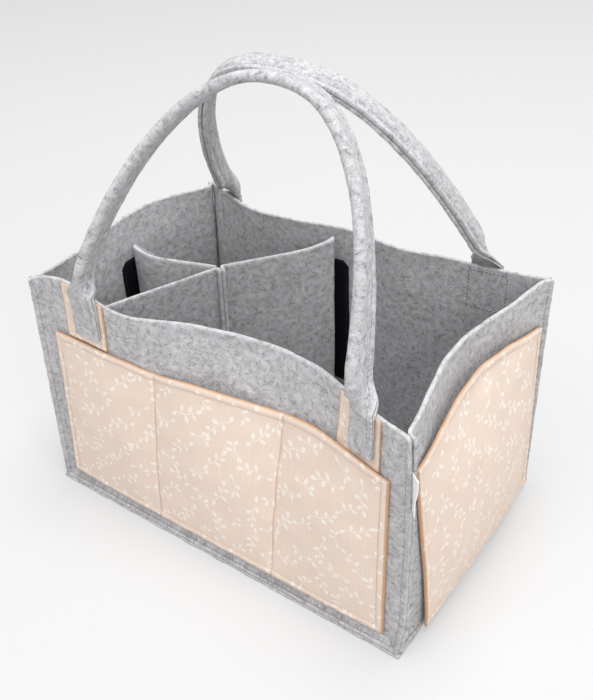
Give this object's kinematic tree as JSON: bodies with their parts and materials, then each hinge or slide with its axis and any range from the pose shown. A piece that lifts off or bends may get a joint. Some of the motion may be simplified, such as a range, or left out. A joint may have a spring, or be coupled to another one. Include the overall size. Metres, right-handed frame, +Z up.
{
  "type": "diaper caddy",
  "caption": "Open felt nursery caddy with fabric outer pockets, folding felt strap handles and a lift-out felt divider held by hook-and-loop tape.",
  "frame": {"origin": "centre of the base's underside, on the surface the caddy stands on", "axes": "+X along the long front towards its right end, +Y from the front to the back, +Z up"},
  "size_m": [0.3755, 0.2258, 0.3705],
  "materials": {
    "felt": "mottled grey felt",
    "cotton": "printed cotton",
    "tape": "woven hook-and-loop tape",
    "label": "satin ribbon"
  },
  "bodies": {
    "caddy_body": {"base_panel": "felt", "front_panel": "felt", "right_panel": "felt", "back_panel": "felt", "left_panel": "felt", "front_pocket": "cotton", "right_pocket": "cotton", "left_pocket": "cotton", "front_left_patch": "cotton", "front_right_patch": "cotton", "back_left_patch": "cotton", "back_right_patch": "cotton", "front_left_tab": "felt", "front_right_tab": "felt", "back_left_tab": "felt", "back_right_tab": "felt", "back_loop_strip": "tape", "left_loop_strip": "tape", "front_loop_strip": "tape", "seam_tag": "label"},
    "front_strap": {"front_handle": "felt"},
    "back_strap": {"back_handle": "felt"},
    "divider_insert": {"back_divider": "felt", "front_divider": "felt", "left_divider": "felt", "back_hook_strip": "tape", "left_hook_strip": "tape", "front_hook_strip": "tape"}
  },
  "joints": [
    {"name": "front_handle_fold", "type": "hinge", "parent": "caddy_body", "child": "front_strap", "pos_m": [0.0101, -0.10924, 0.2003], "axis": [0.9997, 0.0246, 0], "range_deg": [0, 160]},
    {"name": "back_handle_fold", "type": "hinge", "parent": "caddy_body", "child": "back_strap", "pos_m": [-0.01244, 0.10934, 0.2003], "axis": [-0.9997, -0.023, 0], "range_deg": [0, 160]},
    {"name": "divider_lift", "type": "slide", "parent": "caddy_body", "child": "divider_insert", "axis": [0, 0, 1], "range_m": [0, 0.14]}
  ]
}
